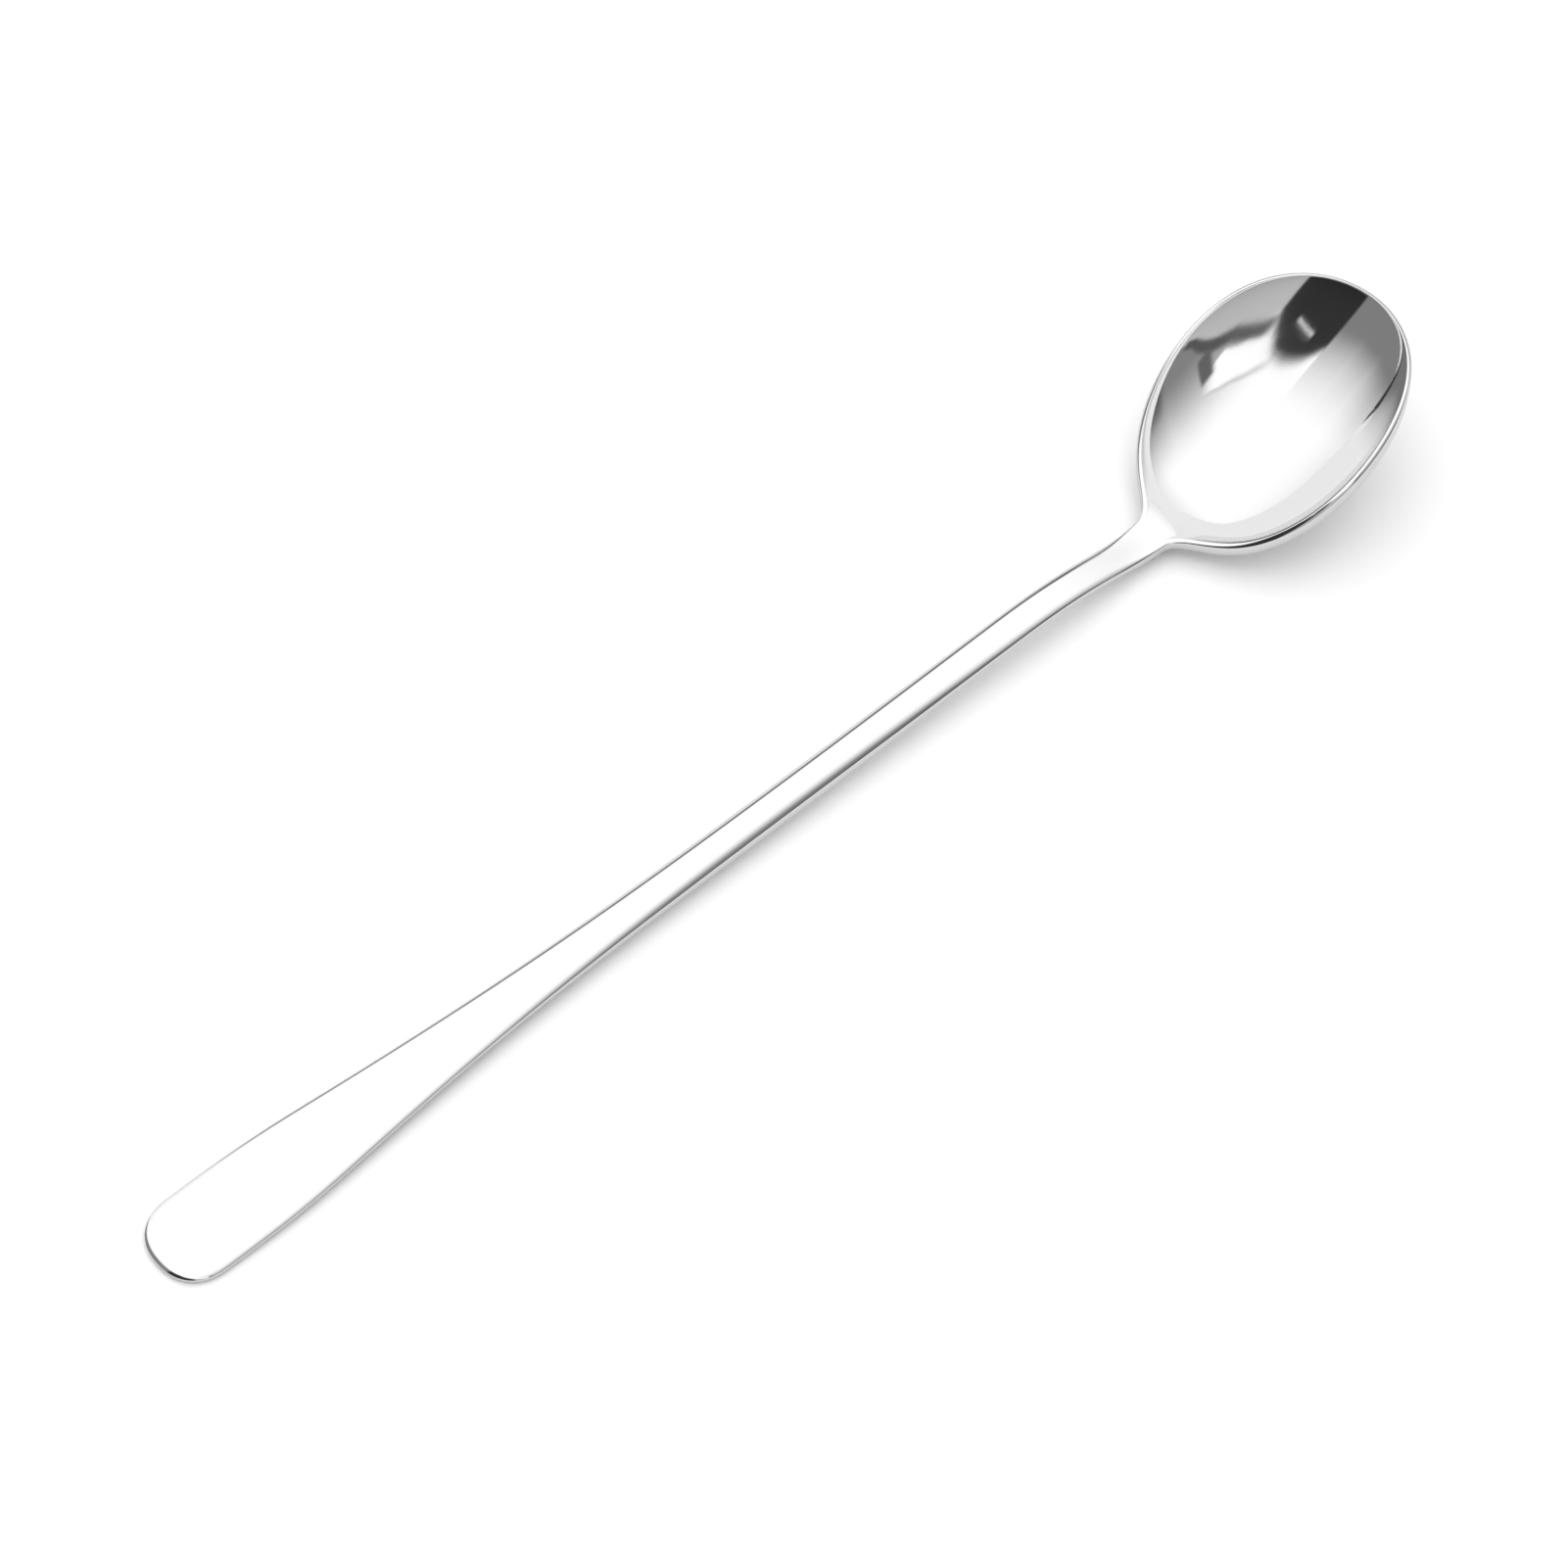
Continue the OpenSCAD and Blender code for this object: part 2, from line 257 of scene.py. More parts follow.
class Form:
    """The spoon's curves. Lengths run from the handle's end to the bowl's tip."""

    def __init__(self, s):
        self.s = s
        self.bowl_x = s.spoon_l - s.bowl_l
        self.bowl_c = s.spoon_l - s.bowl_l / 2
        x = self.bowl_x
        self.half_widths = [
            (0, s.end_w / 2, 0),
            (s.flare_x, s.end_w / 2, s.flare_reach),
            (s.taper_x, s.shank_w / 2, s.taper_reach),
            (x - s.widen_gap, s.neck_w / 2, s.widen_reach),
            (x, s.foot_w / 2, 0),
        ]
        self.side_line = [
            (0, s.end_t - s.end_sink, 0),
            (x - s.crest_gap, s.crest_z, s.crest_reach),
            (x - s.neck_gap, s.neck_z, s.neck_reach),
            (s.spoon_l - s.brow_gap, s.brow_z, s.brow_reach),
            (s.spoon_l, s.tip_z, 0),
        ]
        self.thicknesses = [
            (0, s.end_t, 0),
            (s.thin_x, s.end_t, s.thick_reach),
            (s.thick_x, s.shank_t, s.thick_reach),
            (x - s.slim_gap, s.neck_t, s.thick_reach),
            (x, s.neck_t, 0),
        ]

    def in_bowl(self, x):
        return ease((x - self.bowl_x + self.s.fade_l) / self.s.fade_l)

    def edge(self, x):
        return mix(self.s.edge_w, self.s.rim_w, self.in_bowl(x))

    def drop(self, x):
        grown = ease((x - self.bowl_x + self.s.fade_l) / self.s.deepen_l)
        return mix(SIDE_SHARE * run(x, self.thicknesses), self.s.rim_drop, grown)

    def outline_sq(self, x, inset):
        """Square of the half width at x of the outline, drawn in by an inset."""
        s = self.s
        a = s.bowl_l / 2 - inset
        b = s.bowl_w / 2 - inset
        u = (x - self.bowl_c) / a
        egg = b * b * (1 - u * u) * (1 + EGG * u)
        side = run(x, self.half_widths) - inset
        before = soft_max(side * side, egg, s.blend_l**2)
        return np.where(x > self.bowl_c, np.clip(egg, 0, None), before)

    def half_w(self, x):
        return np.sqrt(self.outline_sq(x, 0 * x))

    def inner_w(self, x):
        return np.sqrt(self.outline_sq(x, self.edge(x)))

    def share_out(self, x, y, inset, width):
        """How far a point lies from the middle line to the edge, from 0 to 1."""
        end = np.clip((self.s.end_round - x) / (self.s.end_round - inset), 0, None)
        side = np.abs(y) / width
        return (end**END_SQUARE + side**END_SQUARE) ** (1 / END_SQUARE)

    def top_z(self, x, y):
        s = self.s
        inside = self.in_bowl(x)
        a = self.outline_sq(x, self.edge(x))
        b = (s.bowl_w / 2 - s.rim_w) ** 2
        dish = s.bowl_depth * inside * (np.clip(a - y * y, 0, None) / b) ** BOWL_FULL
        rho = self.share_out(x, y, s.edge_w, self.inner_w(x).clip(LEAST_WIDTH))
        return run(x, self.side_line) - dish + s.crown * (1 - inside) * (1 - rho * rho)

    def under_z(self, x, y):
        s = self.s
        inside = self.in_bowl(x)
        drop = self.drop(x)
        a = self.outline_sq(x, 0 * x)
        b = s.bowl_w**2 / 4
        full = s.bowl_depth + s.wall_t - drop
        rho = self.share_out(x, y, 0, self.half_w(x).clip(LEAST_WIDTH))
        beyond = full * (np.clip(a - y * y, 0, None) / b) ** BOWL_FULL
        below = run(x, self.thicknesses) - drop
        depth = soft_max(below, full * inside * (a / b) ** BOWL_FULL, s.wall_t)
        before = depth * np.clip(1 - rho * rho, 0, None) ** mix(HANDLE_FULL, BOWL_FULL, inside)
        return run(x, self.side_line) - drop - np.where(x > self.bowl_c, beyond, before)


# ---------------------------------------------------------------- layout of the quads


class Layout:
    """Where each quad corner of a sheet lies in plan.

    A sheet is a core grid of rows along the spoon and columns across it, with rings of quads round it.
    In the two round ends the rows fan out, so that the rings run round the tip of the bowl and the end
    of the handle."""

    def __init__(self, form, mesh):
        s = form.s
        self.form = form
        self.columns = mesh.columns
        x = form.bowl_x
        cuts = [s.end_round, s.end_l, s.handle_l, x - s.neck_start_gap, x - s.bowl_start_gap, x]
        xs = [cuts[0]]
        for start, stop, count in zip(cuts, cuts[1:], STRETCH_ROWS):
            xs += [mix(start, stop, i / count) for i in range(1, count + 1)]
        for i in range(1, BOWL_ROWS + 1):
            t = i / BOWL_ROWS
            xs.append(x + s.bowl_l / 2 * mix(t, 1 - math.cos(t * math.pi / 2), BOWL_CROWD))
        self.xs = np.array(xs)
        self.rows = END_ROWS + len(xs) - 1 + TIP_ROWS

    def shift(self, x):
        """How far along the inner edge of the rim lies from the outer edge at x."""
        s, f = self.form.s, self.form
        lead = s.rim_w * ease((x - f.bowl_x + s.bowl_start_gap) / s.bowl_start_gap)
        round_bowl = s.rim_w * (f.bowl_c - x) / (s.bowl_l / 2)
        return np.where(x < f.bowl_x, lead, round_bowl)

    def core(self, row, v, under):
        """Plan of the core grid, from its row and its place v across it, -1 to 1."""
        s, f = self.form.s, self.form
        last = self.rows - TIP_ROWS
        x = self.xs[np.clip(row - END_ROWS, 0, len(self.xs) - 1)]
        shift = np.zeros_like(x) if under else self.shift(x)
        width = f.half_w(x) if under else f.inner_w(x + shift)
        px = x + CORE * shift * v * v
        py = CORE * width * v
        for side, count, start, reach in (
            (row > last, TIP_ROWS, f.bowl_c, s.bowl_l / 2 - (0 if under else s.rim_w)),
            (row < END_ROWS, END_ROWS, s.end_round, -(s.end_round - (0 if under else s.edge_w))),
        ):
            u = np.where(row > last, row - last, END_ROWS - row) / count
            px = np.where(side, start + CORE * reach * u * (1 - CORNER * v * v), px)
            py = np.where(side, CORE * width * v * (1 - CORNER * u * u), py)
        return px, py

    def border(self, row, v):
        """Outer and inner edge of the rim in plan, for a place on the border of the core grid."""
        s, f = self.form.s, self.form
        last = self.rows - TIP_ROWS
        side = np.where(v < 0, -1.0, 1.0)
        x = self.xs[np.clip(row - END_ROWS, 0, len(self.xs) - 1)]
        shift = self.shift(x)
        ox, oy = x, f.half_w(x)
        ix, iy = x + shift, f.inner_w(x + shift)
        across = np.abs(v)
        # the tip of the bowl
        u = (row - last) / TIP_ROWS
        turn = np.where(row >= self.rows, mix(math.pi / 2, BOWL_TURN, across), u * BOWL_TURN)
        tip = row > last
        tx = f.bowl_c + s.bowl_l / 2 * np.sin(turn)
        jx = f.bowl_c + (s.bowl_l / 2 - s.rim_w) * np.sin(turn)
        ox, oy = np.where(tip, tx, ox), np.where(tip, f.half_w(tx), oy)
        ix, iy = np.where(tip, jx, ix), np.where(tip, f.inner_w(jx), iy)
        # the end of the handle
        u = (END_ROWS - row) / END_ROWS
        turn = np.where(row <= 0, mix(math.pi / 2, END_TURN, across), u * END_TURN)
        end = row < END_ROWS
        power = 2 / END_SQUARE
        tx = s.end_round * (1 - np.abs(np.sin(turn)) ** power)
        ty = f.half_w(tx) * np.clip(np.cos(turn), 0, None) ** power
        share = s.edge_w / np.hypot(tx - s.end_round, ty)
        ox, oy = np.where(end, tx, ox), np.where(end, ty, oy)
        ix, iy = np.where(end, mix(tx, s.end_round, share), ix), np.where(end, mix(ty, 0, share), iy)
        return ox, side * oy, ix, side * iy


def press(obj, layout, mesh, under):
    """Moves the corners of a flat sheet to where the dies press them."""
    form, s = layout.form, layout.form.s
    co = np.zeros(len(obj.data.vertices) * 3, np.float32)
    obj.data.vertices.foreach_get("co", co)
    co = co.reshape(-1, 3).astype(float)
    reach = np.abs(co[:, :2]).max(1)
    ring = np.rint((reach - 1) / RING_STEP).clip(0, None)
    on_border = co[:, :2] / reach.clip(1)[:, None]
    row = np.rint((on_border[:, 0] + 1) / 2 * layout.rows).astype(int)
    v = np.rint((on_border[:, 1] + 1) / 2 * layout.columns) / layout.columns * 2 - 1
    cx, cy = layout.core(row, v, under)
    ox, oy, ix, iy = layout.border(row, v)
    rings = mesh.under_rings if under else mesh.top_rings
    start = math.asin(CORE)
    t = np.clip(ring / rings, 0, 1)
    round_share = (np.sin(mix(start, math.pi / 2, t)) - CORE) / (1 - CORE)
    if under:
        x, y = mix(cx, ox, round_share), mix(cy, oy, round_share)
        z = form.under_z(x, y)
        z = np.where(ring >= rings, run(ox, form.side_line) - form.drop(ox), z)
    else:
        share = mix(t, round_share, form.in_bowl(ox))
        x, y = mix(cx, ix, share), mix(cy, iy, share)
        z = form.top_z(x, y)
        # round the edge, which is the rim in the bowl
        t = np.clip((ring - rings) / mesh.rim_rings, 0, 1)
        on_rim = ring > rings
        inside = form.in_bowl(ox)
        a = t * math.pi / 2
        power = mix(RIM_TIP, RIM_SQUARE, ease((form.bowl_x + s.fade_l - ox) / s.fade_l))
        out = mix(mix(t, np.sin(a), EDGE_ROUND), np.sin(a) ** power, inside)
        sunk = 1 - np.cos(a).clip(0) ** power
        down = mix(mix(t, 1 - np.cos(a), EDGE_ROUND), sunk, inside)
        fall = mix(EDGE_FALL * run(ox, form.thicknesses), s.rim_fall, inside)
        x = np.where(on_rim, mix(ix, ox, out), x)
        y = np.where(on_rim, mix(iy, oy, out), y)
        z = np.where(on_rim, run(x, form.side_line) - fall * down, z)
        # down the outer wall
        w = np.clip((ring - rings - mesh.rim_rings) / mesh.wall_rings, 0, 1)
        z = z - (form.drop(ox) - fall) * w
    z = soft_max(z, 0 * z, s.rest_k)
    co = np.stack([x - s.spoon_l / 2, y, z], 1)
    obj.data.vertices.foreach_set("co", co.astype(np.float32).ravel())
    obj.data.update()


def flat_sheet(name, layout, rings):
    """A flat sheet of quads: a grid, and one ring after another extruded from its border."""
    bpy.ops.mesh.primitive_grid_add(x_subdivisions=layout.rows, y_subdivisions=layout.columns, size=2)
    obj = bpy.context.object
    obj.name = name
    bpy.ops.object.mode_set(mode="EDIT")
    bpy.ops.mesh.select_mode(type="EDGE")
    bpy.ops.mesh.select_all(action="DESELECT")
    bpy.ops.mesh.select_non_manifold()
    for ring in range(rings):
        bpy.ops.mesh.extrude_edges_move()
        grow = (1 + (ring + 1) * RING_STEP) / (1 + ring * RING_STEP)
        bpy.ops.transform.resize(value=(grow, grow, 1), center_override=(0, 0, 0))
    bpy.ops.object.mode_set(mode="OBJECT")
    return obj


class SPOON_OT_press(bpy.types.Operator):
    """Lay out the blank's two sheets, press them into shape and weld them along the outer edge"""

    bl_idname = "spoon.press"
    bl_label = "Press the spoon"

    def execute(self, context):
        mesh = context.scene.spoon_mesh
        form = Form(context.scene.spoon_sizes)
        layout = Layout(form, mesh)
        bpy.ops.object.select_all(action="DESELECT")
        top = flat_sheet("top_sheet", layout, mesh.top_rings + mesh.rim_rings + mesh.wall_rings)
        press(top, layout, mesh, under=False)
        under = flat_sheet("under_sheet", layout, mesh.under_rings)
        press(under, layout, mesh, under=True)
        bpy.ops.object.mode_set(mode="EDIT")
        bpy.ops.mesh.select_all(action="SELECT")
        bpy.ops.mesh.flip_normals()
        bpy.ops.object.mode_set(mode="OBJECT")
        bpy.ops.object.select_all(action="DESELECT")
        top.select_set(True)
        under.select_set(True)
        context.view_layer.objects.active = top
        bpy.ops.object.join()
        top.name = top.data.name = SPOON
        bpy.ops.object.mode_set(mode="EDIT")
        bpy.ops.mesh.select_all(action="SELECT")
        bpy.ops.mesh.remove_doubles(threshold=WELD)
        bpy.ops.object.mode_set(mode="OBJECT")
        bpy.ops.object.shade_smooth()
        return {"FINISHED"}


# ---------------------------------------------------------------- steel


def new_group(name, inputs, outputs):
    """An empty node group with its sockets, each a name, a kind and a default."""
    group = bpy.data.node_groups.new(name, "ShaderNodeTree")
    for direction, sockets in (("INPUT", inputs), ("OUTPUT", outputs)):
        for socket, kind, default in sockets:
            made = group.interface.new_socket(name=socket, in_out=direction, socket_type=kind)
            if default is not None:
                made.default_value = default
    return group, group.nodes.new("NodeGroupInput"), group.nodes.new("NodeGroupOutput")


def node(tree, kind, **values):
    made = tree.nodes.new(kind)
    for key, value in values.items():
        if key in made.inputs:
            made.inputs[key].default_value = value
        else:
            setattr(made, key, value)
    return made


def polish_marks_group():
    """Faint lines left by the polishing wheel, soft smudges and tiny pits."""
    group, start, end = new_group(
        "polish_marks",
        [("Vector", "NodeSocketVector", None), ("Turn", "NodeSocketFloat", 0.0)],
        [(name, "NodeSocketFloat", None) for name in ("Lines", "Smudge", "Pits")],
    )
    link = group.links.new
    turn = node(group, "ShaderNodeVectorRotate", rotation_type="Z_AXIS")
    link(start.outputs["Vector"], turn.inputs["Vector"])
    link(start.outputs["Turn"], turn.inputs["Angle"])
    stretch = node(group, "ShaderNodeMapping")
    stretch.inputs["Scale"].default_value = (1.0, LINE_STRETCH, LINE_STRETCH)
    link(turn.outputs["Vector"], stretch.inputs["Vector"])
    lines = node(group, "ShaderNodeTexNoise", Scale=320.0, Detail=5.0, Roughness=0.6)
    link(stretch.outputs["Vector"], lines.inputs["Vector"])
    link(lines.outputs["Fac"], end.inputs["Lines"])
    smudge = node(group, "ShaderNodeTexNoise", Scale=60.0, Detail=3.0, Roughness=0.55, Distortion=0.6)
    link(start.outputs["Vector"], smudge.inputs["Vector"])
    soft = node(group, "ShaderNodeMapRange", interpolation_type="SMOOTHSTEP")
    soft.inputs["From Min"].default_value = SMUDGE_START
    soft.inputs["From Max"].default_value = SMUDGE_FULL
    link(smudge.outputs["Fac"], soft.inputs["Value"])
    link(soft.outputs["Result"], end.inputs["Smudge"])
    pits = node(group, "ShaderNodeTexVoronoi", feature="F1", Scale=900.0, Randomness=1.0)
    link(start.outputs["Vector"], pits.inputs["Vector"])
    dot = node(group, "ShaderNodeMapRange", interpolation_type="SMOOTHSTEP")
    dot.inputs["From Min"].default_value = PIT_RADIUS
    dot.inputs["From Max"].default_value = 0.0
    link(pits.outputs["Distance"], dot.inputs["Value"])
    link(dot.outputs["Result"], end.inputs["Pits"])
    return group


def steel_material(look, marks):
    material = bpy.data.materials.new(STEEL)
    material.use_nodes = True
    tree = material.node_tree
    tree.nodes.clear()
    link = tree.links.new
    out = node(tree, "ShaderNodeOutputMaterial")
    steel = node(tree, "ShaderNodeBsdfPrincipled", Metallic=1.0, Roughness=look.roughness)
    steel.inputs["Base Color"].default_value = (*look.colour, 1)
    link(steel.outputs["BSDF"], out.inputs["Surface"])
    where = node(tree, "ShaderNodeTexCoord")
    polish = node(tree, "ShaderNodeGroup")
    polish.node_tree = marks
    polish.inputs["Turn"].default_value = POLISH_TURN
    link(where.outputs["Object"], polish.inputs["Vector"])
    rough = node(tree, "ShaderNodeMapRange")
    rough.inputs["To Min"].default_value = look.roughness
    rough.inputs["To Max"].default_value = look.roughness + SMUDGE_ROUGHNESS
    link(polish.outputs["Smudge"], rough.inputs["Value"])
    link(rough.outputs["Result"], steel.inputs["Roughness"])
    height = node(tree, "ShaderNodeMath", operation="MULTIPLY_ADD")
    link(polish.outputs["Pits"], height.inputs[0])
    height.inputs[1].default_value = PIT_DEPTH
    link(polish.outputs["Lines"], height.inputs[2])
    bump = node(tree, "ShaderNodeBump", Strength=0.08, Distance=0.00001)
    link(height.outputs["Value"], bump.inputs["Height"])
    link(bump.outputs["Normal"], steel.inputs["Normal"])
    return material


class SPOON_OT_part(bpy.types.Operator):
    """Part the pressed spoon at the planes where its sections meet, and close each piece"""

    bl_idname = "spoon.part"
    bl_label = "Part the sections"

    def execute(self, context):
        spoon = bpy.data.objects[SPOON]
        normals = smooth_normals(spoon)
        for section in SECTIONS:
            low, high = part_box(section)
            piece = spoon.copy()
            piece.data = spoon.data.copy()
            piece.name = piece.data.name = "steel_" + section
            context.collection.objects.link(piece)
            keep_between(context, piece, low.x, high.x)
            shade_as_one(piece, normals, (low.x, high.x))
            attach(piece, "root")
            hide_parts(section)
        bpy.data.objects.remove(spoon)
        return {"FINISHED"}


def point_key(co):
    return tuple(int(round(c * STEPS_PER_M)) for c in co)


def smooth_normals(obj):
    """The normal of every corner of the whole spoon, by place."""
    return {point_key(v.co): v.normal.copy() for v in obj.data.vertices}


def keep_between(context, piece, low, high):
    """Deletes all faces outside two planes across the spoon and closes the open ends."""
    bpy.ops.object.select_all(action="DESELECT")
    context.view_layer.objects.active = piece
    piece.select_set(True)
    bpy.ops.object.mode_set(mode="EDIT")
    bpy.ops.mesh.select_mode(type="FACE")
    bpy.ops.mesh.select_all(action="DESELECT")
    bpy.ops.object.mode_set(mode="OBJECT")
    outside = [not low < f.center.x < high for f in piece.data.polygons]
    piece.data.polygons.foreach_set("select", outside)
    bpy.ops.object.mode_set(mode="EDIT")
    bpy.ops.mesh.delete(type="FACE")
    for plane in (low, high):
        bpy.ops.mesh.select_mode(type="EDGE")
        bpy.ops.mesh.select_all(action="DESELECT")
        bpy.ops.mesh.select_non_manifold()
        bpy.ops.object.mode_set(mode="OBJECT")
        corners = piece.data.vertices
        near = [
            e.select and all(abs(corners[v].co.x - plane) < ON_PLANE for v in e.vertices)
            for e in piece.data.edges
        ]
        corners.foreach_set("select", [False] * len(corners))
        piece.data.edges.foreach_set("select", near)
        bpy.ops.object.mode_set(mode="EDIT")
        if any(near):
            bpy.ops.mesh.edge_face_add()
    bpy.ops.object.mode_set(mode="OBJECT")


def shade_as_one(piece, normals, planes):
    """Gives the piece the whole spoon's normals, so that no seam shows where two pieces meet."""
    mesh = piece.data
    corners = [None] * len(mesh.loops)
    for face in mesh.polygons:
        cap = len(face.vertices) > 4
        face.use_smooth = not cap
        for loop in face.loop_indices:
            corner = mesh.vertices[mesh.loops[loop].vertex_index]
            corners[loop] = face.normal.copy() if cap else normals[point_key(corner.co)]
    mesh.normals_split_custom_set(corners)


class SPOON_OT_polish(bpy.types.Operator):
    """Give every piece its polished steel"""

    bl_idname = "spoon.polish"
    bl_label = "Polish the steel"

    def execute(self, context):
        look = context.scene.spoon_steel
        steel = steel_material(look, polish_marks_group())
        for section in SECTIONS:
            piece = bpy.data.objects["steel_" + section]
            piece.data.materials.clear()
            piece.data.materials.append(steel)
            node_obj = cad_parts[section]
            node_obj.data.materials.clear()
            node_obj.data.materials.append(steel)
        return {"FINISHED"}


# ---------------------------------------------------------------- stage

# Where the camera looks from and to, and the width of its film in millimetres
CAMERA_AZIMUTH = math.radians(-40.02)
CAMERA_ELEVATION = math.radians(59.47)
CAMERA_AIM = Vector((0.00172, 0.00292, 0))
FILM = 36

# The lamp: azimuth and zenith in degrees, distance and size in metres, and power in watts
LAMP_AZIMUTH = 42
LAMP_ZENITH = 16
LAMP_DISTANCE = 1.3
LAMP_SIZE = 1.4
LAMP_POWER = 8

FLOOR_SIZE = 8
BOWL_PLACE = Vector((0.075, 0, 0.01))
CARD_QUADS = (36, 24)

# Borders of a card: name, the direction across the card, and whether it is that direction's far border
CARD_BORDERS = (
    ("Left", "X", False),
    ("Right", "X", True),
    ("Low", "Y", False),
    ("High", "Y", True),
)

WHITE = (1, 1, 1, 1)


def toward(azimuth, zenith):
    """Direction from the spoon, in degrees: azimuth from +X towards +Y, zenith from straight up."""
    a, z = math.radians(azimuth), math.radians(zenith)
    return Vector((math.cos(a) * math.sin(z), math.sin(a) * math.sin(z), math.cos(z)))


def facing(obj, place, target):
    """Moves a flat object to a place and turns its face, +Z, to the target."""
    obj.location = place
    obj.rotation_euler = (place - target).to_track_quat("Z", "Y").to_euler()


def light_path_mix(tree, seen, unseen, gloss=True):
    """One shader for rays that look at a thing, from the camera and maybe from gloss, and another for
    the light that it gives."""
    path = node(tree, "ShaderNodeLightPath")
    link = tree.links.new
    add = node(tree, "ShaderNodeMath", operation="MAXIMUM")
    link(path.outputs["Is Camera Ray"], add.inputs[0])
    if gloss:
        link(path.outputs["Is Glossy Ray"], add.inputs[1])
    more = node(tree, "ShaderNodeMath", operation="MAXIMUM")
    link(add.outputs["Value"], more.inputs[0])
    link(path.outputs["Is Transmission Ray"], more.inputs[1])
    blend = node(tree, "ShaderNodeMixShader")
    link(more.outputs["Value"], blend.inputs["Fac"])
    link(unseen, blend.inputs[1])
    link(seen, blend.inputs[2])
    return blend.outputs["Shader"]


def sky_point(a, b, distance):
    """A place round the bowl, from its direction: degrees from straight up, a to +X and b to +Y."""
    zenith = math.hypot(a, b)
    return BOWL_PLACE + toward(math.degrees(math.atan2(b, a)), zenith) * distance


def card_fade_group():
    """Mask of a card: 1 in its middle, and 0 at its borders, each of which fades over its own share."""
    shares = [(side, "NodeSocketFloat", None) for side, _, _ in CARD_BORDERS]
    group, start, end = new_group(
        "card_fade",
        [("Vector", "NodeSocketVector", None), *shares],
        [("Mask", "NodeSocketFloat", None)],
    )
    link = group.links.new
    split = node(group, "ShaderNodeSeparateXYZ")
    link(start.outputs["Vector"], split.inputs["Vector"])
    mask = None
    for side, axis, far in CARD_BORDERS:
        away = split.outputs[axis]
        if far:
            turned = node(group, "ShaderNodeMath", operation="SUBTRACT")
            turned.inputs[0].default_value = 1.0
            link(away, turned.inputs[1])
            away = turned.outputs["Value"]
        fade = node(group, "ShaderNodeMapRange", interpolation_type="SMOOTHSTEP")
        link(away, fade.inputs["Value"])
        link(start.outputs[side], fade.inputs["From Max"])
        if mask is None:
            mask = fade.outputs["Result"]
            continue
        both = node(group, "ShaderNodeMath", operation="MULTIPLY")
        link(mask, both.inputs[0])
        link(fade.outputs["Result"], both.inputs[1])
        mask = both.outputs["Value"]
    link(mask, end.inputs["Mask"])
    return group


def along(points, u):
    """Point at the share u of a line through points, each stretch of which takes the same share."""
    place = u * (len(points) - 1)
    i = min(int(place), len(points) - 2)
    return [mix(points[i][k], points[i + 1][k], place - i) for k in (0, 1)]


def card(name, low, high, greys, fades, distance, fade_group):
    """A reflection card, which only gloss sees. It spans two lines of points, in degrees from straight
    up. Its two greys are at its low and its high line, and its fades are the shares over which its four
    borders dissolve."""
    bpy.ops.object.select_all(action="DESELECT")
    columns, rows = CARD_QUADS
    bpy.ops.mesh.primitive_grid_add(x_subdivisions=columns, y_subdivisions=rows, size=2, calc_uvs=True)
    obj = bpy.context.object
    obj.name = name
    for vertex in obj.data.vertices:
        u, v = (vertex.co.x + 1) / 2, (vertex.co.y + 1) / 2
        start, stop = along(low, u), along(high, u)
        vertex.co = sky_point(mix(start[0], stop[0], v), mix(start[1], stop[1], v), distance)
    obj.visible_camera = obj.visible_diffuse = obj.visible_shadow = False
    obj.visible_transmission = obj.visible_volume_scatter = False
    material = bpy.data.materials.new(name)
    material.use_nodes = True
    tree = material.node_tree
    tree.nodes.clear()
    link = tree.links.new
    where = node(tree, "ShaderNodeTexCoord")
    fade = node(tree, "ShaderNodeGroup")
    fade.node_tree = fade_group
    for (side, _, _), share in zip(CARD_BORDERS, fades):
        fade.inputs[side].default_value = share
    link(where.outputs["UV"], fade.inputs["Vector"])
    split = node(tree, "ShaderNodeSeparateXYZ")
    link(where.outputs["UV"], split.inputs["Vector"])
    shade = node(tree, "ShaderNodeMix", data_type="RGBA")
    link(split.outputs["Y"], shade.inputs["Factor"])
    for socket, grey in ((shade.inputs[6], greys[0]), (shade.inputs[7], greys[1])):
        socket.default_value = (grey, grey, grey, 1)
    glow = node(tree, "ShaderNodeEmission", Strength=1.0)
    link(shade.outputs[2], glow.inputs["Color"])
    clear = node(tree, "ShaderNodeBsdfTransparent")
    blend = node(tree, "ShaderNodeMixShader")
    link(fade.outputs["Mask"], blend.inputs["Fac"])
    link(clear.outputs["BSDF"], blend.inputs[1])
    link(glow.outputs["Emission"], blend.inputs[2])
    out = node(tree, "ShaderNodeOutputMaterial")
    link(blend.outputs["Shader"], out.inputs["Surface"])
    obj.data.materials.append(material)


